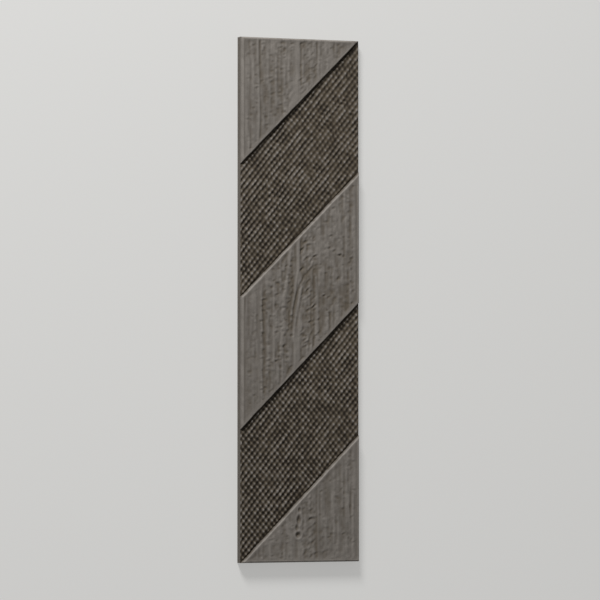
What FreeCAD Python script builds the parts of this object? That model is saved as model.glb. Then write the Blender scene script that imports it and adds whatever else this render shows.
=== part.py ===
# Plank-shaped relief wall tile, pressed and fired as one ceramic piece.
# Lengths are in millimetres and angles in degrees. The tile lies on its back with the relief up:
# X runs across the tile, Y along it and Z out of its face. The origin is the centre of the back.

import FreeCAD
import Part
import Sketcher
import os

# Driving dimensions: name, value, meaning
DIMENSIONS = [
    ("tile_width", 120.0, "across the plank, without the joint"),
    ("tile_length", 495.0, "along the plank, without the joint"),
    ("ground_thickness", 8.5, "back to the crests of the woven ground"),
    ("edge_round", 1.0, "rounding of the woven ground into the long sides"),
    ("strand_pitch_across", 5.7, "strand to strand of the weave, measured across the tile"),
    ("strand_pitch_along", 6.94, "strand to strand of the weave, measured along the tile"),
    ("strand_gap_width", 3.4, "groove between two strands, measured square to them"),
    ("strand_gap_depth", 1.0, "depth of that groove"),
    ("board_rise", 3.0, "raised boards above the crests of the woven ground"),
    ("board_draft", 18.0, "lean of the boards' walls from upright"),
    ("board_round", 0.8, "rounding along the boards' upper edges"),
    ("key_count", 8, "grooves in the back that key into the adhesive"),
    ("key_width", 7.0, "width of one groove"),
    ("key_depth", 1.0, "depth of one groove"),
    ("back_margin", 7.5, "plain border round the grooves"),
]

# The middle board and the two woven bands share out the length that one corner board leaves over
BAND = "((sizes.tile_length - sizes.tile_width) / 3)"

# Strands lean by their two pitches. From the centre they reach this far along the tile's middle line,
# with an even number of grooves between them, so that a strand and not a groove crosses the centre.
STRAND_LEAN = "(sizes.strand_pitch_along / sizes.strand_pitch_across)"
STRAND_REACH = "(" + BAND + " * 1.5 + abs(" + STRAND_LEAN + " - 1) * sizes.tile_width / 2)"
STRAND_GAPS = "2 * ceil(" + STRAND_REACH + " / sizes.strand_pitch_along)"
STRAND_RUN = "(" + STRAND_GAPS + " - 1) * sizes.strand_pitch_along"

# Walls of the boards on one half of the tile: name, heading of the wall's normal from X,
# distance of the wall from the centre, and whether the board lies beyond it
BOARD_WALLS = [
    ("side_wall", "0 deg", "sizes.tile_width / 2", False),
    ("end_wall", "90 deg", "sizes.tile_length / 2", False),
    ("corner_wall", "135 deg", BAND + " * 1.5 * cos(45 deg)", True),
    ("middle_wall", "135 deg", BAND + " / 2 * cos(45 deg)", False),
]

# Slack when edges are picked by their height
TOLERANCE = 1e-4

doc = FreeCAD.newDocument("relief_wall_tile")

sheet = doc.addObject("Spreadsheet::Sheet", "sizes")
for row, (name, value, meaning) in enumerate(DIMENSIONS, start=1):
    sheet.set("A%d" % row, name)
    sheet.set("B%d" % row, str(value))
    sheet.set("C%d" % row, meaning)
    sheet.setAlias("B%d" % row, name)
doc.recompute()

body = doc.addObject("PartDesign::Body", "wall_tile")
body.Label = "wall_tile"


def origin_feature(role):
    # One of the body's own origin planes or axes
    for feature in body.Origin.OriginFeatures:
        if feature.Role == role:
            return feature
    raise RuntimeError("no origin feature " + role)


def new_sketch(name, height_rule=None):
    # A sketch parallel to the back, lifted to a height above it
    sketch = body.newObject("Sketcher::SketchObject", name)
    sketch.AttachmentSupport = [(origin_feature("XY_Plane"), "")]
    sketch.MapMode = "FlatFace"
    if height_rule:
        sketch.setExpression("AttachmentOffset.Base.z", height_rule)
    return sketch


def new_section(name, heading_rule):
    # An upright sketch through the centre. Its first axis is level and heads away from X by an angle.
    sketch = body.newObject("Sketcher::SketchObject", name)
    sketch.AttachmentSupport = [(origin_feature("XZ_Plane"), "")]
    sketch.MapMode = "FlatFace"
    upright = FreeCAD.Vector(0, 1, 0)
    sketch.AttachmentOffset = FreeCAD.Placement(FreeCAD.Vector(), FreeCAD.Rotation(upright, 45))
    sketch.setExpression("AttachmentOffset.Rotation.Angle", heading_rule)
    return sketch


def drive(sketch, constraint, name, rule):
    # Add a dimension to a sketch and tie it to the sheet
    index = sketch.addConstraint(constraint)
    sketch.renameConstraint(index, name)
    sketch.setExpression("Constraints." + name, rule)


def closed_outline(sketch, corners):
    # Straight lines from corner to corner, joined end to end
    points = [FreeCAD.Vector(x, y, 0) for x, y in corners]
    count = len(points)
    for i in range(count):
        sketch.addGeometry(Part.LineSegment(points[i], points[(i + 1) % count]), False)
    for i in range(count):
        sketch.addConstraint(Sketcher.Constraint("Coincident", i, 2, (i + 1) % count, 1))


def centred_rectangle(sketch, width_rule, length_rule):
    # A rectangle about the origin, with lines bottom, right, top and left
    closed_outline(sketch, [(-40, -90), (40, -90), (40, 90), (-40, 90)])
    sketch.addConstraint(Sketcher.Constraint("Horizontal", 0))
    sketch.addConstraint(Sketcher.Constraint("Vertical", 1))
    sketch.addConstraint(Sketcher.Constraint("Horizontal", 2))
    sketch.addConstraint(Sketcher.Constraint("Vertical", 3))
    sketch.addConstraint(Sketcher.Constraint("Symmetric", 0, 1, 1, 2, -1, 1))
    drive(sketch, Sketcher.Constraint("DistanceX", 0, 1, 0, 2, 80), "across", width_rule)
    drive(sketch, Sketcher.Constraint("DistanceY", 1, 1, 1, 2, 180), "along", length_rule)


def level_edges(shape, height, lengthwise=False):
    # Names of the edges that lie wholly at one height, or only of those that also run along the tile
    names = []
    for number, edge in enumerate(shape.Edges, start=1):
        box = edge.BoundBox
        level = abs(box.ZMin - height) < TOLERANCE and abs(box.ZMax - height) < TOLERANCE
        if level and (box.XLength < TOLERANCE or not lengthwise):
            names.append("Edge%d" % number)
    return names


def grow(feature_type, name, sketch, depth_rule):
    # A pad or pocket from a sketch
    feature = body.newObject("PartDesign::" + feature_type, name)
    feature.Profile = sketch
    feature.setExpression("Length", depth_rule)
    return feature


def raised_board(name, outline):
    # The board stands on the ground, and its foot fills the grooves and the rounded edge under it
    board = grow("Pad", name, outline, "sizes.board_rise")
    board.SideType = "Two sides"
    board.setExpression("Length2", "sizes.edge_round + sizes.strand_gap_depth")
    return board


def cut_through(name, section):
    # A pocket that runs right through the tile on both sides of its section
    cut = body.newObject("PartDesign::Pocket", name)
    cut.Profile = section
    cut.SideType = "Two sides"
    cut.Type = "ThroughAll"
    cut.Type2 = "ThroughAll"
    return cut


def in_a_row(name, feature, axis_role, run_rule, count_rule):
    # Evenly spaced copies along an axis
    pattern = body.newObject("PartDesign::LinearPattern", name)
    pattern.Originals = [feature]
    pattern.Direction = (origin_feature(axis_role), [""])
    pattern.setExpression("Length", run_rule)
    pattern.setExpression("Occurrences", count_rule)
    body.Tip = pattern
    return pattern


def half_turn(name, features):
    # The same again, turned half round about the tile's centre
    pattern = body.newObject("PartDesign::PolarPattern", name)
    pattern.Originals = features
    pattern.Axis = (origin_feature("Z_Axis"), [""])
    pattern.Angle = 360
    pattern.Occurrences = 2
    body.Tip = pattern
    return pattern


# Slab from the back to the crests of the woven ground
slab_outline = new_sketch("slab_outline")
centred_rectangle(slab_outline, "sizes.tile_width", "sizes.tile_length")
slab = grow("Pad", "slab", slab_outline, "sizes.ground_thickness")
doc.recompute()

# The woven ground rolls over into the tile's long sides. The corner boards close it at the ends.
edge_rounding = body.newObject("PartDesign::Fillet", "edge_rounding")
edge_rounding.Base = (slab, level_edges(slab.Shape, sheet.ground_thickness, lengthwise=True))
edge_rounding.setExpression("Radius", "sizes.edge_round")
doc.recompute()

# Strands of the weave: the groove between two of them is a V, drawn square to the strands
gap_section = new_section("gap_section", "90 deg + atan(" + STRAND_LEAN + ")")
gap_section.setExpression("AttachmentOffset.Base.z", STRAND_RUN + " / 2")
closed_outline(gap_section, [(0, 7.5), (2, 8.5), (-2, 8.5)])
gap_section.addConstraint(Sketcher.Constraint("PointOnObject", 0, 1, -2))
gap_section.addConstraint(Sketcher.Constraint("Symmetric", 1, 1, 1, 2, -2))
drive(gap_section, Sketcher.Constraint("DistanceX", 1, 2, 1, 1, 4), "wide", "sizes.strand_gap_width")
drive(gap_section, Sketcher.Constraint("DistanceY", 0, 1, 1, 1, 1), "deep", "sizes.strand_gap_depth")
drive(gap_section, Sketcher.Constraint("DistanceY", -1, 1, 1, 1, 8.5), "crest", "sizes.ground_thickness")
strand_gap = cut_through("strand_gap", gap_section)
doc.recompute()
strand_gaps = in_a_row("strand_gaps", strand_gap, "Y_Axis", STRAND_RUN, STRAND_GAPS)
doc.recompute()

# Corner board: a right triangle with both legs as long as the tile is wide, so it is cut at 45 degrees
corner_outline = new_sketch("corner_outline", "sizes.ground_thickness")
closed_outline(corner_outline, [(-60, 240), (-60, 120), (60, 240)])
corner_outline.addConstraint(Sketcher.Constraint("Vertical", 0))
corner_outline.addConstraint(Sketcher.Constraint("Horizontal", 2))
corner_outline.addConstraint(Sketcher.Constraint("Equal", 0, 2))
drive(corner_outline, Sketcher.Constraint("DistanceX", 0, 1, -1, 1, 60), "to_side", "sizes.tile_width / 2")
drive(corner_outline, Sketcher.Constraint("DistanceY", -1, 1, 0, 1, 240), "to_end", "sizes.tile_length / 2")
drive(corner_outline, Sketcher.Constraint("DistanceX", 2, 2, 2, 1, 120), "leg", "sizes.tile_width")
corner_board = raised_board("corner_board", corner_outline)
doc.recompute()

# The opposite corner has the same board
corner_boards = half_turn("corner_boards", [corner_board])
doc.recompute()

# Middle board: a parallelogram across the tile
middle_outline = new_sketch("middle_outline", "sizes.ground_thickness")
closed_outline(middle_outline, [(-60, 2), (-60, -122), (60, -2), (60, 122)])
middle_outline.addConstraint(Sketcher.Constraint("Vertical", 0))
middle_outline.addConstraint(Sketcher.Constraint("Symmetric", 0, 1, 1, 2, -1, 1))
middle_outline.addConstraint(Sketcher.Constraint("Symmetric", 0, 2, 2, 2, -1, 1))
drive(middle_outline, Sketcher.Constraint("DistanceX", 1, 1, 1, 2, 120), "across", "sizes.tile_width")
drive(middle_outline, Sketcher.Constraint("DistanceY", 1, 1, 1, 2, 120), "slant", "sizes.tile_width")
drive(middle_outline, Sketcher.Constraint("DistanceY", 0, 2, 0, 1, 124), "band", BAND)
middle_board = raised_board("middle_board", middle_outline)
doc.recompute()

# The boards' walls lean inwards above the ground: a wedge comes off each wall
wall_cuts = []
for name, heading, distance, board_beyond in BOARD_WALLS:
    section = new_section(name + "_section", heading)
    inwards = 1 if board_beyond else -1
    closed_outline(section, [(50, 8.5), (50, 11.5), (50 + inwards, 11.5)])
    section.addConstraint(Sketcher.Constraint("Vertical", 0))
    section.addConstraint(Sketcher.Constraint("Horizontal", 1))
    drive(section, Sketcher.Constraint("DistanceX", -1, 1, 0, 1, 50), "to_wall", distance)
    drive(section, Sketcher.Constraint("DistanceY", -1, 1, 0, 1, 8.5), "ground", "sizes.ground_thickness")
    drive(section, Sketcher.Constraint("DistanceY", 0, 1, 0, 2, 3), "rise", "sizes.board_rise")
    near, far = (1, 2) if board_beyond else (2, 1)
    lean = Sketcher.Constraint("DistanceX", 1, near, 1, far, 1)
    drive(section, lean, "lean", "sizes.board_rise * tan(sizes.board_draft * 1 deg)")
    wall_cuts.append(cut_through(name, section))
    doc.recompute()

# The other half of the tile has the same walls
board_walls = half_turn("board_walls", wall_cuts)
doc.recompute()

# Softened upper edges on all the boards
board_rounding = body.newObject("PartDesign::Fillet", "board_rounding")
board_rounding.Base = (
    board_walls,
    level_edges(board_walls.Shape, sheet.ground_thickness + sheet.board_rise),
)
board_rounding.setExpression("Radius", "sizes.board_round")
doc.recompute()

# Keying grooves in the back, spread between the plain borders
key_outline = new_sketch("key_outline")
closed_outline(key_outline, [(-52, -240), (-45, -240), (-45, 240), (-52, 240)])
key_outline.addConstraint(Sketcher.Constraint("Horizontal", 0))
key_outline.addConstraint(Sketcher.Constraint("Vertical", 1))
key_outline.addConstraint(Sketcher.Constraint("Horizontal", 2))
key_outline.addConstraint(Sketcher.Constraint("Symmetric", 0, 1, 2, 2, -1))
drive(key_outline, Sketcher.Constraint("DistanceX", 0, 1, 0, 2, 7), "wide", "sizes.key_width")
drive(
    key_outline,
    Sketcher.Constraint("DistanceY", 1, 1, 1, 2, 480),
    "along",
    "sizes.tile_length - 2 * sizes.back_margin",
)
drive(
    key_outline,
    Sketcher.Constraint("DistanceX", 0, 1, -1, 1, 52),
    "to_side",
    "sizes.tile_width / 2 - sizes.back_margin",
)
key_groove = grow("Pocket", "key_groove", key_outline, "sizes.key_depth")
key_groove.Reversed = True
doc.recompute()
key_run = "sizes.tile_width - 2 * sizes.back_margin - sizes.key_width"
key_grooves = in_a_row("key_grooves", key_groove, "X_Axis", key_run, "sizes.key_count")
doc.recompute()

# Nothing is written unless every feature is sound and the tile is one solid
for item in doc.Objects:
    if "Invalid" in item.State or "Error" in item.State:
        raise RuntimeError("bad feature: " + item.Name)
if body.Shape.isNull() or not body.Shape.isValid() or len(body.Shape.Solids) != 1:
    raise RuntimeError("the tile is not one valid solid")
if not key_grooves.Shape.Volume < board_rounding.Shape.Volume:
    raise RuntimeError("the back grooves took nothing away")
if not strand_gaps.Shape.Volume < strand_gap.Shape.Volume < edge_rounding.Shape.Volume:
    raise RuntimeError("the grooves between the strands took nothing away")
if not middle_board.Shape.Volume > corner_boards.Shape.Volume > strand_gaps.Shape.Volume:
    raise RuntimeError("a board is missing")
if not board_walls.Shape.Volume < wall_cuts[-1].Shape.Volume < middle_board.Shape.Volume:
    raise RuntimeError("the boards' walls do not lean inwards")

os.makedirs("parts", exist_ok=True)
body.Shape.exportStep("parts/" + body.Label + ".step")
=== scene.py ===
import math

import bpy
import numpy as np
from mathutils import Matrix, Vector


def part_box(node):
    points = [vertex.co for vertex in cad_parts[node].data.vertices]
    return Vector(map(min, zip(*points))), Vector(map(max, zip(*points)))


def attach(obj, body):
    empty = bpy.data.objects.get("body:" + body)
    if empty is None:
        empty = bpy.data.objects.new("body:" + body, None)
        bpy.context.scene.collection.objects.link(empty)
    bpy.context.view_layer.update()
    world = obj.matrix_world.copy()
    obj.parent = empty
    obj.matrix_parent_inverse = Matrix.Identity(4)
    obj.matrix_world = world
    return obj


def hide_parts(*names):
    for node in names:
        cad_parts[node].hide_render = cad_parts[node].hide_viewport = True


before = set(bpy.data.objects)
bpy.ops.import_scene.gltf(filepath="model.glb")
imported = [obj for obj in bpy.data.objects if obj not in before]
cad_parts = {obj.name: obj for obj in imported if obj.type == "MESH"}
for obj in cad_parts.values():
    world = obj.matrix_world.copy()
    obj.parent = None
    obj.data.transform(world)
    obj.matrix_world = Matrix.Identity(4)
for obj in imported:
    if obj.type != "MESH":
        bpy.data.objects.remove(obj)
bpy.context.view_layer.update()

# Relief wall tile: the looks of one pressed ceramic plank.
# The relief is worked out in millimetres and becomes one closed mesh in metres.

MM = 0.001
MM2_PER_CM2 = 100.0
SQRT2 = math.sqrt(2.0)

# A distance below this counts as none
TINY = 1e-6

# Sizes from the frame
tile_low, tile_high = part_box("wall_tile")
WIDTH = (tile_high.x - tile_low.x) / MM
LENGTH = (tile_high.y - tile_low.y) / MM
TOP = (tile_high.z - tile_low.z) / MM
HALF_W = WIDTH / 2
HALF_L = LENGTH / 2

# Section of the tile
BOARD_RISE = 3.2
GROUND_Z = TOP - BOARD_RISE
EDGE_ROUND = 1.0
WALL_DRAFT = math.radians(18.0)
CREST_SOFTNESS = 1.1

# Back of the tile
KEY_COUNT = 8
KEY_WIDTH = 7.0
KEY_DEPTH = 1.0
BACK_MARGIN = 7.5

# Slanted lines at 45 degrees, by their height above the diagonal through the origin
BAND = (LENGTH - WIDTH) / 3
MIDDLE_SLANT = BAND / 2
CORNER_SLANT = BAND * 1.5

# Random fields, here and below: cell size across, cell size along, seed.
# Cells are in millimetres, or in strands for a field that follows the weave.

# Weave: two families of strands with pits on a staggered lattice between them.
# Its level is 0 in a pit and 1 on a knot, and the datum is the level that lies at the height of the ground.
# The same level paints the ground's colour: painted shade in the pits, a painted highlight on the knots.
WEAVE_PITCH_X = 5.7
WEAVE_PITCH_Y = 6.94
WEAVE_HEIGHT = 1.75
WEAVE_DATUM = 0.5
WEAVE_MARGIN = 0.9
WEAVE_MIDDLE = 0.44
WEAVE_SWING = 0.46
KNOT_SWELL = 0.16
KNOT_TOP = 1.2

# The strands drift a little to each side
STRAND_DRIFT = 0.4
DRIFT_X_FIELD = (14.0, 17.0, 11)
DRIFT_Y_FIELD = (15.0, 13.0, 12)

# Share of the crossing strands: it changes in patches and is less towards the top
CROSS_SHARE = 0.32
CROSS_PATCHES = 0.32
CROSS_FALL = 0.10
PATCH_FIELD = (10.0, 12.0, 13)

# The crossing strands are out of step from one strand to the next, and more so towards the top
CROSS_SHIFT = 0.235
CROSS_SHIFT_RISE = 0.23
SHIFT_FIELD = (1.0, 5.0, 17)

# Height of the knots: it differs from knot to knot and in patches, and is less towards the top and the right
KNOT_LEAST = 0.55
KNOT_RANGE = 0.88
KNOT_FIELD = (1.0, 1.0, 15)
REGION_LEAST = 0.85
REGION_RANGE = 0.30
REGION_FIELD = (9.0, 11.0, 16)
FALL_TO_TOP = 0.24
FALL_TO_RIGHT = 0.12
KNOT_LIFT = 0.26
LIFT_FIELD = (1.0, 1.0, 14)

# Dip in the ground along the boards, where the weave is flatter, darkened with painted shade
TRENCH_DEPTH = 0.9
TRENCH_WIDTH = 1.3
TRENCH_FLATTENING = 0.6
TRENCH_PAINTED_SHADE = 0.8

# Smooth lip round each board, a little above the sawn field, with a scored line inside it along the sides
LIP_WIDTH = 3.2
LIP_BLEND = 0.5
LIP_STEP = 0.26
SCORE_DEPTH = 0.24
SCORE_WIDTH = 0.7
# The scored line is darkened with painted shade
SCORE_PAINTED_SHADE = 0.5

# Distances from a slanted edge or an end between which the sawn field begins
SAWN_START = 1.2
SAWN_FULL = 5.4

# Ridges of the grain may stand this far above the lip
RIDGE_ALLOWANCE = 0.4

# Heights of the grain: streaks along the boards, and mottling
BROAD_STREAKS = 0.14
BROAD_STREAK_FIELD = (4.6, 90.0, 21)
FINE_STREAKS = 0.30
FINE_STREAK_FIELD = (2.1, 24.0, 22)
FINE_MOTTLE = 0.22
FINE_MOTTLE_FIELD = (2.3, 3.0, 24)
BROAD_MOTTLE = 0.16
BROAD_MOTTLE_FIELD = (4.6, 7.5, 25)

# The middle board is rougher than the corner boards and is darkened a little with painted shade,
# with a smoother strip along its left side
MIDDLE_ROUGHNESS = 1.35
MIDDLE_PAINTED_SHADE = 0.05
SMOOTH_STRIP_RIGHT = -41.5
SMOOTH_STRIP_SHARE = 0.62

# The boards' slanted edges wander back a little, and wear unevenly along their length
RAGGED_EDGE = 0.3
RAGGED_FIELD = (5.0, 60.0, 41)
UNEVEN_WEAR = 0.75
WEAR_FIELD = (3.0, 60.0, 42)

# Where the glaze runs thin over an edge it is paler than on the flat, which counts as 1
WORN_EDGE = 0.3
PAINTED_LIGHT_TOP = 1.0 + WORN_EDGE
CREST_WEAR_START = 0.9
CREST_WEAR_END = 3.0
SIDE_WEAR = 0.55
SIDE_WEAR_START = 2.0
SIDE_WEAR_END = 3.0

# Painted shade at the foot of a board's wall and in the low places of the grain
WALL_FOOT_PAINTED_SHADE = 0.5
WALL_SHADE_START = 0.1
WALL_SHADE_END = 0.9
GRAIN_PAINTED_SHADE = 0.6
GRAIN_DARKEST = -0.34
GRAIN_PALEST = 0.16

# The bare body at the sides and the back is a little darker than the face
BARE_BODY = 0.82

# Rough strips between smoother ones: left side, right side, nicks per square centimetre,
# the least and greatest slope of a nick in degrees, and its size
ROUGH_STRIPS = [
    (-54.0, -44.0, 2.0, -25.0, 25.0, 1.1),
    (-41.0, -20.0, 2.4, -25.0, 25.0, 1.1),
    (-20.0, -8.0, 3.0, -25.0, 40.0, 1.0),
    (-0.5, 15.5, 5.0, 15.0, 60.0, 1.4),
    (17.5, 54.0, 1.6, -20.0, 40.0, 1.0),
]

# Roughness between the strips, the width over which strips blend, and how it grows with the nicks
LEAST_ROUGHNESS = 0.35
STRIP_BLEND = 1.5
SPARSE_STRIP = 0.4
DENSE_STRIP = 6.0

# Torn nicks: least and greatest half length for a size of 1, half width and depth,
# and the burr as a share of the depth, with its distance in half widths
NICK_SEED = 31
NICK_LENGTHS = (0.9, 2.2)
NICK_WIDTHS = (0.7, 1.1)
NICK_DEPTHS = (0.10, 0.42)
BURR_HEIGHT = 0.45
BURR_OFFSET = 1.9

# Small round pits torn out between the streaks: least and greatest radius across,
# length for a width of 1, and depth
PIT_SEED = 33
PITS_PER_CM2 = 1.1
PIT_RADII = (0.8, 1.3)
PIT_STRETCHES = (1.0, 1.6)
PIT_DEPTHS = (0.12, 0.45)

# A nick or a pit is worked out no further than this along the tile
DENT_REACH = 6.0

# Grain lines: depth (negative for a ridge), half width,
# then places along the line from its top end to its bottom end
GRAIN_LINES = [
    (0.50, 0.90, [(-41.2, 250), (-40.6, 130)]),
    (-0.30, 1.10, [(-43.2, 250), (-42.6, 130)]),
    (0.24, 1.10, [(-37.4, 40), (-36.9, -60), (-36.2, -130)]),
    (-0.40, 0.90, [(-40.4, 40), (-39.9, -60), (-39.2, -130)]),
    (-0.50, 2.40, [(-3.8, 250), (-3.6, 180)]),
    (0.60, 0.95, [(0.2, 250), (0.4, 180)]),
    (0.50, 0.90, [(16.3, 250), (16.4, 190)]),
    (-0.28, 1.10, [(18.4, 250), (18.5, 190)]),
    (0.25, 1.00, [(-19.5, 250), (-19.0, 150)]),
    (0.22, 1.00, [(-51.5, 250), (-51.0, 120)]),
    (0.34, 1.00, [(-12.9, 50), (-16.4, 21), (-18.3, 10), (-21.0, -13), (-22.0, -60)]),
    (-0.65, 1.25, [(-9.9, 52), (-13.6, 21), (-15.5, 10), (-18.4, -13), (-19.6, -44)]),
    (0.42, 0.90, [(-5.0, 62), (-5.2, 40), (-6.2, 24), (-9.4, 3), (-11.4, -12), (-12.6, -30)]),
    (-0.75, 1.15, [(-2.2, 62), (-2.4, 43), (-2.8, 30), (-4.4, 20), (-6.9, 3), (-8.8, -9), (-10.2, -24)]),
    (0.50, 0.90, [(0.4, 62), (0.0, 43), (-0.2, 30), (0.4, 22)]),
    (0.80, 1.20, [
        (4.6, 25), (1.6, 19), (-1.9, 14), (-3.7, 7), (-5.9, -3), (-8.0, -13), (-9.0, -24), (-10.0, -38),
    ]),
    (-0.75, 1.15, [(-0.4, 12), (-1.2, 6), (-2.6, -3), (-4.6, -13), (-6.9, -25), (-7.6, -40)]),
    (0.40, 0.90, [(1.9, 12), (1.1, 6), (-0.2, -3), (-2.0, -13), (-4.2, -25)]),
    (-0.45, 1.00, [(14.6, 42), (10.3, 33), (6.8, 28), (5.0, 24)]),
    (0.40, 0.90, [(12.9, 26), (12.8, -50)]),
    (-0.55, 0.95, [(15.1, 26), (15.0, -50)]),
    (-0.26, 1.30, [(32.6, 60), (32.6, 6)]),
    (0.26, 1.00, [(29.0, 90), (29.4, -20)]),
    (0.28, 1.10, [(46.6, 110), (46.4, 10)]),
    (0.40, 1.00, [(-1.4, -194), (-2.0, -207), (-4.0, -215), (-2.8, -224)]),
    (0.42, 0.95, [(15.8, -160), (16.2, -250)]),
    (-0.26, 1.10, [(17.9, -160), (18.3, -250)]),
    (0.40, 0.95, [(50.6, -120), (50.8, -250)]),
    (-0.26, 1.10, [(53.4, -120), (53.6, -250)]),
]

# Grain lines wander, fade at their ends and are fainter in places
LINE_WANDER = 0.35
WANDER_FIELD = (1.0, 13.0, 26)
FADE_BEYOND_END = 3.0
FADE_WITHIN_END = 6.0
LINE_FAINTEST = 0.55
FAINT_FIELD = (3.0, 9.0, 27)

# A check in the lowest board that ends in a small knot: x, y, radius across, radius along, depth
KNOT_PITS = [
    (-1.6, -198.2, 1.1, 1.6, 0.9),
    (-2.0, -207.6, 1.6, 2.8, 1.5),
    (-4.0, -214.8, 1.3, 2.2, 0.7),
    (-2.8, -221.8, 1.8, 1.9, 1.8),
]

# Rim round each of these pits: height as a share of the depth, and radius and width in radii of the pit
RIM_HEIGHT = 0.3
RIM_RADIUS = 2.0
RIM_WIDTH = 0.6

# Mesh spacing, closer together along the sides and on the boards' walls
FINE_X = 0.78
WEAVE_ROW = 0.8
BOARD_ROW = 1.0
EDGE_ZONE = 3.0
EDGE_STEPS = [0.0, 0.1, 0.35, 0.65, 0.95, 1.25, 1.7, 2.3]
WALL_STEPS = [0.1, 0.35, 0.65, 0.9, 1.15, 1.4, 1.8, 2.4]
END_CLEARANCE = 0.25

# Side of the square of random numbers behind each random field
NOISE_GRID = 512


def smoothstep(low, high, value):
    t = np.clip((value - low) / (high - low), 0.0, 1.0)
    return t * t * (3.0 - 2.0 * t)


def value_noise(x, y, field):
    # Smooth random field from 0 to 1
    cell_x, cell_y, seed = field
    grid = np.random.default_rng(seed).random((NOISE_GRID, NOISE_GRID))
    gx = x / cell_x + NOISE_GRID / 2
    gy = y / cell_y + NOISE_GRID / 2
    ix = np.floor(gx).astype(int)
    iy = np.floor(gy).astype(int)
    fx = smoothstep(0.0, 1.0, gx - ix)
    fy = smoothstep(0.0, 1.0, gy - iy)
    x0 = ix % NOISE_GRID
    x1 = (ix + 1) % NOISE_GRID
    y0 = iy % NOISE_GRID
    y1 = (iy + 1) % NOISE_GRID
    lower = grid[y0, x0] * (1 - fx) + grid[y0, x1] * fx
    upper = grid[y1, x0] * (1 - fx) + grid[y1, x1] * fx
    return lower * (1 - fy) + upper * fy


def signed_noise(x, y, field):
    # Smooth random field from -1 to 1
    return 2.0 * value_noise(x, y, field) - 1.0


def soft_min(a, b, softness):
    # The lesser of two heights, rounded where they meet
    share = np.clip(0.5 + 0.5 * (b - a) / softness, 0.0, 1.0)
    return b * (1 - share) + a * share - softness * share * (1 - share)


def past_slant(x, y):
    # How far a point lies past the nearest slanted edge of a board, negative on the ground
    slant = np.abs(y - x)
    return np.maximum(slant - CORNER_SLANT, MIDDLE_SLANT - slant) / SQRT2


def in_middle(x, y):
    # True between the slanted edges of the middle board
    return np.abs(y - x) < MIDDLE_SLANT


def weave(x, y):
    # Knots of a coarse weave, joined a little more along strands that lean to the right
    to_top = y / HALF_L
    to_right = x / HALF_W
    across = (x + STRAND_DRIFT * signed_noise(x, y, DRIFT_X_FIELD)) / WEAVE_PITCH_X
    along = (y + STRAND_DRIFT * signed_noise(x, y, DRIFT_Y_FIELD)) / WEAVE_PITCH_Y
    strand_phase = across - along
    cross_phase = across + along
    shift = (CROSS_SHIFT + CROSS_SHIFT_RISE * to_top) * signed_noise(strand_phase, cross_phase, SHIFT_FIELD)
    strand = np.cos(2 * math.pi * strand_phase)
    cross = np.cos(2 * math.pi * (cross_phase + shift))
    cross_share = CROSS_SHARE + CROSS_PATCHES * value_noise(x, y, PATCH_FIELD) - CROSS_FALL * to_top
    wave = (1 - cross_share) * strand + cross_share * cross
    strength = KNOT_LEAST + KNOT_RANGE * value_noise(strand_phase, cross_phase, KNOT_FIELD)
    strength *= REGION_LEAST + REGION_RANGE * value_noise(x, y, REGION_FIELD)
    strength *= 1.0 - FALL_TO_TOP * to_top - FALL_TO_RIGHT * to_right
    lift = KNOT_LIFT * signed_noise(strand_phase, cross_phase, LIFT_FIELD)
    level = WEAVE_MIDDLE + WEAVE_SWING * wave * strength + lift
    return np.clip(level + KNOT_SWELL * np.maximum(wave, 0.0) ** 3, 0.0, KNOT_TOP)


def reached(order, sorted_y, centre_y):
    # Numbers of the points that a nick or a pit at this place along the tile can reach
    first = np.searchsorted(sorted_y, centre_y - DENT_REACH)
    last = np.searchsorted(sorted_y, centre_y + DENT_REACH)
    return order[first:last]


def nick_field(x, y):
    # Short torn nicks left by the saw, each with a small burr above it
    rng = np.random.default_rng(NICK_SEED)
    order = np.argsort(y)
    sorted_y = y[order]
    field = np.zeros_like(x)
    for left, right, density, least_slope, greatest_slope, size in ROUGH_STRIPS:
        count = int((right - left) * LENGTH * density / MM2_PER_CM2)
        for centre_x, centre_y in rng.uniform((left, -HALF_L), (right, HALF_L), (count, 2)):
            slope = math.radians(rng.uniform(least_slope, greatest_slope))
            half_length = size * rng.uniform(*NICK_LENGTHS)
            half_width = rng.uniform(*NICK_WIDTHS)
            depth = rng.uniform(*NICK_DEPTHS)
            near = reached(order, sorted_y, centre_y)
            dx = x[near] - centre_x
            dy = y[near] - centre_y
            along = (dx * math.cos(slope) + dy * math.sin(slope)) / half_length
            across = (dy * math.cos(slope) - dx * math.sin(slope)) / half_width
            reach = np.exp(-along * along)
            dent = np.exp(-across * across) - BURR_HEIGHT * np.exp(-((across - BURR_OFFSET) ** 2))
            field[near] -= depth * reach * dent
    return field


def pit_field(x, y):
    # Small round pits scattered over the boards
    rng = np.random.default_rng(PIT_SEED)
    order = np.argsort(y)
    sorted_y = y[order]
    field = np.zeros_like(x)
    count = int(WIDTH * LENGTH * PITS_PER_CM2 / MM2_PER_CM2)
    for centre_x, centre_y in rng.uniform((-HALF_W, -HALF_L), (HALF_W, HALF_L), (count, 2)):
        across = rng.uniform(*PIT_RADII)
        along = across * rng.uniform(*PIT_STRETCHES)
        depth = rng.uniform(*PIT_DEPTHS)
        near = reached(order, sorted_y, centre_y)
        dx = (x[near] - centre_x) / across
        dy = (y[near] - centre_y) / along
        field[near] -= depth * np.exp(-dx * dx - dy * dy)
    return field


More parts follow.
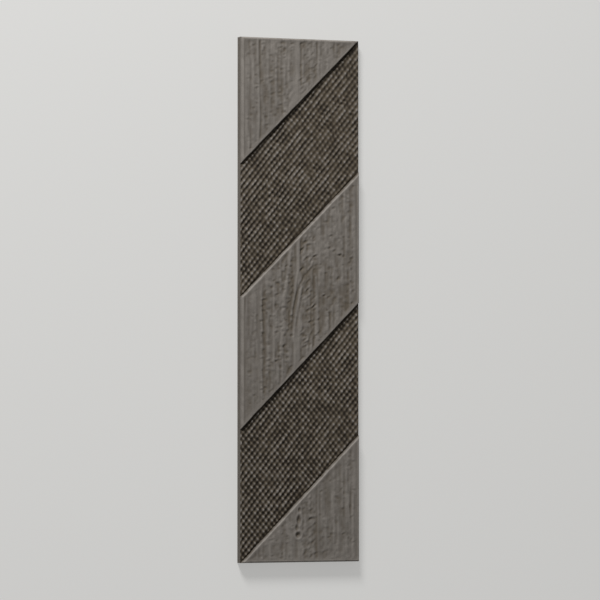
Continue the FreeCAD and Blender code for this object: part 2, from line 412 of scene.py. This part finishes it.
def line_field(x, y):
    # Long grooves and ridges of the grain
    wander = LINE_WANDER * signed_noise(np.zeros_like(x), y, WANDER_FIELD)
    field = np.zeros_like(x)
    for depth, half_width, places in GRAIN_LINES:
        line_x = [place[0] for place in reversed(places)]
        line_y = [place[1] for place in reversed(places)]
        middle = np.interp(y, line_y, line_x) + wander
        fade = smoothstep(line_y[0] - FADE_BEYOND_END, line_y[0] + FADE_WITHIN_END, y)
        fade *= smoothstep(line_y[-1] + FADE_BEYOND_END, line_y[-1] - FADE_WITHIN_END, y)
        faint = value_noise(np.full_like(x, places[0][0]), y, FAINT_FIELD)
        broken = LINE_FAINTEST + (1.0 - LINE_FAINTEST) * faint
        offset = (x - middle) / half_width
        field -= depth * fade * broken * np.exp(-offset * offset)
    return field


def rough_share(x):
    # 1 on the rough strips, less on the smooth ones between them
    share = np.full_like(x, LEAST_ROUGHNESS)
    for left, right, density, *_ in ROUGH_STRIPS:
        strip = smoothstep(left - STRIP_BLEND, left + STRIP_BLEND, x)
        strip *= smoothstep(right + STRIP_BLEND, right - STRIP_BLEND, x)
        share += (1.0 - LEAST_ROUGHNESS) * strip * min(1.0, SPARSE_STRIP + density / DENSE_STRIP)
    return np.minimum(share, 1.0)


def wood(x, y):
    # Rough-sawn board: streaks along the tile, mottling, torn nicks, grain lines, and a check with a knot
    height = BROAD_STREAKS * signed_noise(x, y, BROAD_STREAK_FIELD)
    height += FINE_STREAKS * signed_noise(x, y, FINE_STREAK_FIELD)
    mottle = FINE_MOTTLE * signed_noise(x, y, FINE_MOTTLE_FIELD)
    mottle += BROAD_MOTTLE * signed_noise(x, y, BROAD_MOTTLE_FIELD)
    torn = mottle + pit_field(x, y)
    height += rough_share(x) * torn + nick_field(x, y)
    smooth_strip = smoothstep(SMOOTH_STRIP_RIGHT + STRIP_BLEND, SMOOTH_STRIP_RIGHT - STRIP_BLEND, x)
    middle = MIDDLE_ROUGHNESS * (1.0 - (1.0 - SMOOTH_STRIP_SHARE) * smooth_strip)
    height *= np.where(in_middle(x, y), middle, 1.0)
    height += line_field(x, y)
    for pit_x, pit_y, across, along, depth in KNOT_PITS:
        reach = ((x - pit_x) / across) ** 2 + ((y - pit_y) / along) ** 2
        height -= depth * np.exp(-reach)
        height += RIM_HEIGHT * depth * np.exp(-(((np.sqrt(reach) - RIM_RADIUS) / RIM_WIDTH) ** 2))
    return height


def relief(x, y):
    # Height of the face above the back, and a colour level that holds painted shade, painted highlight and
    # wear
    side = HALF_W - np.abs(x)
    end = HALF_L - np.abs(y)
    along_edge = (x + y) / SQRT2
    ragged = RAGGED_EDGE * value_noise(along_edge, y - x, RAGGED_FIELD)
    from_slant = np.minimum(past_slant(x, y) - ragged, end)
    inside = np.minimum(from_slant, side)

    # Woven ground with rounded long edges
    rounding = np.clip(EDGE_ROUND - side, 0.0, EDGE_ROUND)
    ground = GROUND_Z - EDGE_ROUND + np.sqrt(EDGE_ROUND**2 - rounding**2)
    level = weave(x, y)
    trench = np.exp(-((inside / TRENCH_WIDTH) ** 2))
    woven_share = smoothstep(0.0, WEAVE_MARGIN, side) * (1 - TRENCH_FLATTENING * trench)
    ground += WEAVE_HEIGHT * (level - WEAVE_DATUM) * woven_share - TRENCH_DEPTH * trench
    # Painted shade in the weave's pits and in the trench, and a painted highlight on the knot tops
    ground_painted_light = level * (1 - TRENCH_PAINTED_SHADE * trench)

    # Boards: wall, lip, scored line and sawn field
    wall = soft_min(inside / math.tan(WALL_DRAFT), BOARD_RISE, CREST_SOFTNESS)
    past_lip = smoothstep(LIP_WIDTH - LIP_BLEND, LIP_WIDTH + LIP_BLEND, side)
    past_crest = smoothstep(SAWN_START, SAWN_FULL, from_slant)
    sawn_share = np.minimum(past_lip, past_crest)
    sawn = wood(x, y)
    score = SCORE_DEPTH * np.exp(-(((side - LIP_WIDTH) / SCORE_WIDTH) ** 2)) * past_crest
    board = GROUND_Z + wall + sawn_share * (sawn - LIP_STEP) - score

    # Wear pales the boards' edges; painted shade darkens the feet of their walls, the scored lines, the
    # middle board and the grain's low places
    crest_wear = 1 - smoothstep(CREST_WEAR_START, CREST_WEAR_END, from_slant)
    side_wear = SIDE_WEAR * (1 - smoothstep(SIDE_WEAR_START, SIDE_WEAR_END, side))
    wear = np.maximum(crest_wear, side_wear)
    wear *= 1.0 + UNEVEN_WEAR * signed_noise(along_edge, y - x, WEAR_FIELD)
    painted_shade = WALL_FOOT_PAINTED_SHADE * (1 - smoothstep(WALL_SHADE_START, WALL_SHADE_END, from_slant)) + SCORE_PAINTED_SHADE * score
    painted_shade += sawn_share * np.where(in_middle(x, y), MIDDLE_PAINTED_SHADE, 0.0)
    # Painted shade in the low places of the grain, and a paler tone on its ridges
    grain_painted_shade = sawn_share * np.clip(GRAIN_PAINTED_SHADE * sawn, GRAIN_DARKEST, GRAIN_PALEST)
    board_shade_and_wear = 1.0 + grain_painted_shade + WORN_EDGE * wear - painted_shade

    on_board = inside > TINY
    z = np.where(on_board, board, ground)
    painted_light_and_wear = np.where(on_board, board_shade_and_wear, ground_painted_light)
    border = np.minimum(side, end) < TINY
    z = np.where(border, GROUND_Z - EDGE_ROUND, z)
    painted_light_and_wear = np.where(border, BARE_BODY, painted_light_and_wear)
    return np.minimum(z, TOP + RIDGE_ALLOWANCE), painted_light_and_wear


def even_places(start, stop, spacing):
    count = max(1, round(abs(stop - start) / spacing))
    return list(np.linspace(start, stop, count + 1))


# Columns across the tile
inner = even_places(-HALF_W + EDGE_ZONE, HALF_W - EDGE_ZONE, FINE_X)
left_edge = [-HALF_W + step for step in EDGE_STEPS]
right_edge = [HALF_W - step for step in reversed(EDGE_STEPS)]
columns = np.array(left_edge + inner + right_edge)

# Rows along the slants
wall_slants = [step * SQRT2 for step in WALL_STEPS]
half_rows = even_places(0.0, MIDDLE_SLANT - wall_slants[-1], BOARD_ROW)
half_rows += [MIDDLE_SLANT - step for step in reversed(wall_slants[:-1])]
half_rows += even_places(MIDDLE_SLANT, CORNER_SLANT, WEAVE_ROW)
half_rows += [CORNER_SLANT + step for step in wall_slants[:-1]]
half_rows += even_places(CORNER_SLANT + wall_slants[-1], HALF_L + HALF_W, BOARD_ROW)
slants = [-row for row in reversed(half_rows[1:])] + half_rows

# Rows along the two ends
end_steps = [0.0] + WALL_STEPS
bottom_rows = [-HALF_L + step for step in end_steps]
top_rows = [HALF_L - step for step in reversed(end_steps)]

# One list of (row number, y) for each column, from the bottom end to the top end
first_slant = len(bottom_rows)
first_top = first_slant + len(slants)
column_rows = []
for x in columns:
    rows = list(enumerate(bottom_rows))
    for number, slant in enumerate(slants, start=first_slant):
        y = slant + x
        if bottom_rows[-1] + END_CLEARANCE < y < top_rows[0] - END_CLEARANCE:
            rows.append((number, y))
    rows += list(enumerate(top_rows, start=first_top))
    column_rows.append(rows)

# Vertices of the face, then faces between neighbouring columns
xs = []
ys = []
index = []
for x, rows in zip(columns, column_rows):
    start = len(xs)
    index.append(list(range(start, start + len(rows))))
    xs += [x] * len(rows)
    ys += [y for number, y in rows]
xs = np.array(xs)
ys = np.array(ys)
zs, painted_light_and_wear = relief(xs, ys)

faces = []
for left in range(len(columns) - 1):
    right = left + 1
    a = 0
    b = 0
    last_a = len(column_rows[left]) - 1
    last_b = len(column_rows[right]) - 1
    while a < last_a or b < last_b:
        next_a = column_rows[left][a + 1][0] if a < last_a else math.inf
        next_b = column_rows[right][b + 1][0] if b < last_b else math.inf
        if next_a == next_b:
            # Split along the diagonal from the lower right corner to the upper left one
            faces.append((index[left][a], index[right][b], index[left][a + 1]))
            faces.append((index[right][b], index[right][b + 1], index[left][a + 1]))
            a += 1
            b += 1
        elif next_a < next_b:
            faces.append((index[left][a], index[right][b], index[left][a + 1]))
            a += 1
        else:
            faces.append((index[left][a], index[right][b], index[right][b + 1]))
            b += 1
face_count = len(faces)
vertices = [tuple(point) for point in np.stack([xs, ys, zs], axis=1)]

# Back: a grid of lands, with a groove in every second strip between the end margins
key_run = WIDTH - 2 * BACK_MARGIN - KEY_WIDTH
key_pitch = key_run / (KEY_COUNT - 1)
back_x = [-HALF_W]
for key in range(KEY_COUNT):
    key_left = -HALF_W + BACK_MARGIN + key * key_pitch
    back_x += [key_left, key_left + KEY_WIDTH]
back_x.append(HALF_W)
back_y = [-HALF_L, -HALF_L + BACK_MARGIN, HALF_L - BACK_MARGIN, HALF_L]


def add_vertex(x, y, z):
    vertices.append((x, y, z))
    return len(vertices) - 1


back = [[add_vertex(x, y, 0.0) for y in back_y] for x in back_x]
for i in range(len(back_x) - 1):
    for j in range(len(back_y) - 1):
        corners = [back[i][j], back[i][j + 1], back[i + 1][j + 1], back[i + 1][j]]
        is_key = i % 2 == 1 and j == 1
        if not is_key:
            faces.append(tuple(corners))
            continue
        bed = [add_vertex(vertices[corner][0], vertices[corner][1], KEY_DEPTH) for corner in corners]
        faces.append(tuple(bed))
        for k in range(len(corners)):
            following = (k + 1) % len(corners)
            faces.append((corners[k], corners[following], bed[following], bed[k]))

# Sides: from the border of the face down to the border of the back
left_side = index[0] + list(reversed(back[0]))
right_side = list(reversed(index[-1])) + back[-1]
bottom_side = [column[0] for column in reversed(index)] + [column[0] for column in back]
top_side = [column[-1] for column in index] + [column[-1] for column in reversed(back)]
faces += [tuple(left_side), tuple(right_side), tuple(bottom_side), tuple(top_side)]

mesh = bpy.data.meshes.new("relief_tile")
mesh.from_pydata([(x * MM, y * MM, z * MM) for x, y, z in vertices], [], faces)
mesh.update()
smooth = np.zeros(len(mesh.polygons), dtype=bool)
smooth[:face_count] = True
mesh.polygons.foreach_set("use_smooth", smooth)
# Each vertex keeps its colour level: painted shade, painted highlight and wear
painted_light_attribute = mesh.attributes.new("painted_light_and_wear", "FLOAT", "POINT")
painted_light_values = np.full(len(mesh.vertices), BARE_BODY, dtype=np.float32)
painted_light_values[: len(painted_light_and_wear)] = painted_light_and_wear
painted_light_attribute.data.foreach_set("value", painted_light_values)
tile = bpy.data.objects.new("relief_tile", mesh)
bpy.context.scene.collection.objects.link(tile)

# Material: matt through-coloured ceramic.
# Colours from the painted shade of the deepest pit to a worn edge, with the colour level of each place
# between: painted shade, painted highlight and wear
PIT_PAINTED_SHADE = (0.017, 0.0115, 0.0065, 1.0)
SLOPE_PAINTED_SHADE = (0.092, 0.072, 0.048, 1.0)
TAUPE = (0.176, 0.158, 0.139, 1.0)
PALE_EDGE = (0.245, 0.222, 0.198, 1.0)
PIT_STOP = 0.04
SLOPE_SHADE_LEVEL = 0.5
FLAT_LEVEL = 1.0

# Uneven tone and roughness: noise scale per metre, detail, least value, greatest value
STREAKS = (520.0, 4.0, 0.93, 1.07)
CLOUDS = (28.0, 3.0, 0.95, 1.05)
GRIT = (900.0, 2.0, 0.94, 1.06)
SHEEN = (160.0, 3.0, 0.58, 0.74)
STREAK_SCALE = (1.0, 0.08, 1.0)
SPECULAR_LEVEL = 0.35

# The part of the noise's range that is used
NOISE_LOW = 0.3
NOISE_HIGH = 0.7

# Fine bump of the body, with its depth in metres
BUMP_SCALE = 1300.0
BUMP_DETAIL = 3.0
BUMP_STRENGTH = 0.5
BUMP_DISTANCE = 0.00025

# Colour sockets of the mix node
MIX_FIRST = 6
MIX_SECOND = 7
MIX_RESULT = 2

material = bpy.data.materials.new("matt_ceramic")
material.use_nodes = True
nodes = material.node_tree.nodes
links = material.node_tree.links
shader = nodes["Principled BSDF"]
shader.inputs["Specular IOR Level"].default_value = SPECULAR_LEVEL

coordinates = nodes.new("ShaderNodeTexCoord").outputs["Object"]
stretch = nodes.new("ShaderNodeMapping")
stretch.inputs["Scale"].default_value = STREAK_SCALE
links.new(coordinates, stretch.inputs["Vector"])


def noise_node(vector, scale, detail):
    node = nodes.new("ShaderNodeTexNoise")
    node.inputs["Scale"].default_value = scale
    node.inputs["Detail"].default_value = detail
    links.new(vector, node.inputs["Vector"])
    return node.outputs["Fac"]


def map_range(value, from_low, from_high, to_low, to_high):
    node = nodes.new("ShaderNodeMapRange")
    node.inputs["From Min"].default_value = from_low
    node.inputs["From Max"].default_value = from_high
    node.inputs["To Min"].default_value = to_low
    node.inputs["To Max"].default_value = to_high
    links.new(value, node.inputs["Value"])
    return node.outputs["Result"]


def uneven(vector, scale, detail, low, high):
    # Noise between two values
    return map_range(noise_node(vector, scale, detail), NOISE_LOW, NOISE_HIGH, low, high)


def multiply(a, b):
    node = nodes.new("ShaderNodeMath")
    node.operation = "MULTIPLY"
    links.new(a, node.inputs[0])
    links.new(b, node.inputs[1])
    return node.outputs["Value"]


attribute = nodes.new("ShaderNodeAttribute")
attribute.attribute_name = "painted_light_and_wear"
ramp = nodes.new("ShaderNodeValToRGB")
ramp.color_ramp.elements[0].position = PIT_STOP
ramp.color_ramp.elements[0].color = PIT_PAINTED_SHADE
ramp.color_ramp.elements[1].position = 1.0
ramp.color_ramp.elements[1].color = PALE_EDGE
slope_stop = ramp.color_ramp.elements.new(SLOPE_SHADE_LEVEL / PAINTED_LIGHT_TOP)
slope_stop.color = SLOPE_PAINTED_SHADE
flat_stop = ramp.color_ramp.elements.new(FLAT_LEVEL / PAINTED_LIGHT_TOP)
flat_stop.color = TAUPE
links.new(map_range(attribute.outputs["Fac"], 0.0, PAINTED_LIGHT_TOP, 0.0, 1.0), ramp.inputs["Fac"])

streaks = uneven(stretch.outputs["Vector"], *STREAKS)
clouds = uneven(coordinates, *CLOUDS)
grit = uneven(coordinates, *GRIT)
tone = multiply(multiply(streaks, clouds), grit)
colour = nodes.new("ShaderNodeMix")
colour.data_type = "RGBA"
colour.blend_type = "MULTIPLY"
colour.inputs["Factor"].default_value = 1.0
links.new(ramp.outputs["Color"], colour.inputs[MIX_FIRST])
links.new(tone, colour.inputs[MIX_SECOND])
links.new(colour.outputs[MIX_RESULT], shader.inputs["Base Color"])
links.new(uneven(coordinates, *SHEEN), shader.inputs["Roughness"])

bump = nodes.new("ShaderNodeBump")
bump.inputs["Strength"].default_value = BUMP_STRENGTH
bump.inputs["Distance"].default_value = BUMP_DISTANCE
links.new(noise_node(coordinates, BUMP_SCALE, BUMP_DETAIL), bump.inputs["Height"])
links.new(bump.outputs["Normal"], shader.inputs["Normal"])

tile.data.materials.append(material)
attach(tile, "root")
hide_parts("wall_tile")

# Floor
FLOOR_HALF = 6.0
FLOOR_COLOUR = (0.36, 0.358, 0.35, 1.0)
FLOOR_ROUGHNESS = 0.9
FLOOR_SPECULAR = 0.1
floor_mesh = bpy.data.meshes.new("floor")
floor_mesh.from_pydata(
    [
        (-FLOOR_HALF, -FLOOR_HALF, 0.0),
        (FLOOR_HALF, -FLOOR_HALF, 0.0),
        (FLOOR_HALF, FLOOR_HALF, 0.0),
        (-FLOOR_HALF, FLOOR_HALF, 0.0),
    ],
    [],
    [(0, 1, 2, 3)],
)
floor = bpy.data.objects.new("floor", floor_mesh)
bpy.context.scene.collection.objects.link(floor)
floor_material = bpy.data.materials.new("pale_floor")
floor_material.use_nodes = True
floor_nodes = floor_material.node_tree.nodes
floor_links = floor_material.node_tree.links
floor_shader = floor_nodes["Principled BSDF"]
floor_shader.inputs["Base Color"].default_value = FLOOR_COLOUR
floor_shader.inputs["Roughness"].default_value = FLOOR_ROUGHNESS
floor_shader.inputs["Specular IOR Level"].default_value = FLOOR_SPECULAR

# An even pale tone, seen by the camera, in reflections and through glass, but not lighting the tile
floor_tone = floor_nodes.new("ShaderNodeEmission")
floor_tone.inputs["Color"].default_value = FLOOR_COLOUR
light_path = floor_nodes.new("ShaderNodeLightPath")
seen = floor_nodes.new("ShaderNodeMath")
seen.operation = "MAXIMUM"
floor_links.new(light_path.outputs["Is Camera Ray"], seen.inputs[0])
floor_links.new(light_path.outputs["Is Glossy Ray"], seen.inputs[1])
seen_or_through = floor_nodes.new("ShaderNodeMath")
seen_or_through.operation = "MAXIMUM"
floor_links.new(seen.outputs["Value"], seen_or_through.inputs[0])
floor_links.new(light_path.outputs["Is Transmission Ray"], seen_or_through.inputs[1])
floor_links.new(seen_or_through.outputs["Value"], floor_tone.inputs["Strength"])
floor_sum = floor_nodes.new("ShaderNodeAddShader")
floor_links.new(floor_shader.outputs["BSDF"], floor_sum.inputs[0])
floor_links.new(floor_tone.outputs["Emission"], floor_sum.inputs[1])
floor_links.new(floor_sum.outputs["Shader"], floor_nodes["Material Output"].inputs["Surface"])
floor.data.materials.append(floor_material)

# Light: one soft lamp raking from the tile's upper left, and a dim even surround
SURROUND_COLOUR = (1.0, 1.0, 1.0, 1.0)
SURROUND_STRENGTH = 0.22
world = bpy.data.worlds.new("surround")
bpy.context.scene.world = world
world.use_nodes = True
background = world.node_tree.nodes["Background"]
background.inputs["Color"].default_value = SURROUND_COLOUR
background.inputs["Strength"].default_value = SURROUND_STRENGTH

LAMP_AZIMUTH = math.radians(114.0)
LAMP_ELEVATION = math.radians(31.0)
LAMP_DISTANCE = 2.6
LAMP_SIZE = 0.82
LAMP_POWER = 68.0
lamp_data = bpy.data.lights.new("key", "AREA")
lamp_data.shape = "DISK"
lamp_data.size = LAMP_SIZE
lamp_data.energy = LAMP_POWER
lamp = bpy.data.objects.new("key", lamp_data)
bpy.context.scene.collection.objects.link(lamp)
lamp.location = (
    LAMP_DISTANCE * math.cos(LAMP_ELEVATION) * math.cos(LAMP_AZIMUTH),
    LAMP_DISTANCE * math.cos(LAMP_ELEVATION) * math.sin(LAMP_AZIMUTH),
    LAMP_DISTANCE * math.sin(LAMP_ELEVATION),
)
lamp.rotation_euler = Vector(lamp.location).to_track_quat("Z", "Y").to_euler()

# Camera: the photograph's view of the plank, from its left and a little below its middle
FOCAL_PX = 3750.0
IMAGE_PX = 600.0
SENSOR_MM = 36.0
VIEW_DISTANCE = 3.545
VIEW_DIRECTION = (-0.366, -0.03, 0.93)
CLIP_END = 50.0
camera_data = bpy.data.cameras.new("camera")
camera_data.sensor_width = SENSOR_MM
camera_data.lens = SENSOR_MM * FOCAL_PX / IMAGE_PX
camera_data.clip_end = CLIP_END
camera = bpy.data.objects.new("camera", camera_data)
bpy.context.scene.collection.objects.link(camera)
target = Vector((0.0, 0.0, GROUND_Z * MM))
tile_up = Vector((0.0, 1.0, 0.0))
back_axis = Vector(VIEW_DIRECTION).normalized()
right_axis = tile_up.cross(back_axis).normalized()
up_axis = back_axis.cross(right_axis)
rotation = Matrix((right_axis, up_axis, back_axis)).transposed()
camera.matrix_world = Matrix.Translation(target + back_axis * VIEW_DISTANCE) @ rotation.to_4x4()
bpy.context.scene.camera = camera

bpy.context.scene.view_settings.view_transform = "Standard"
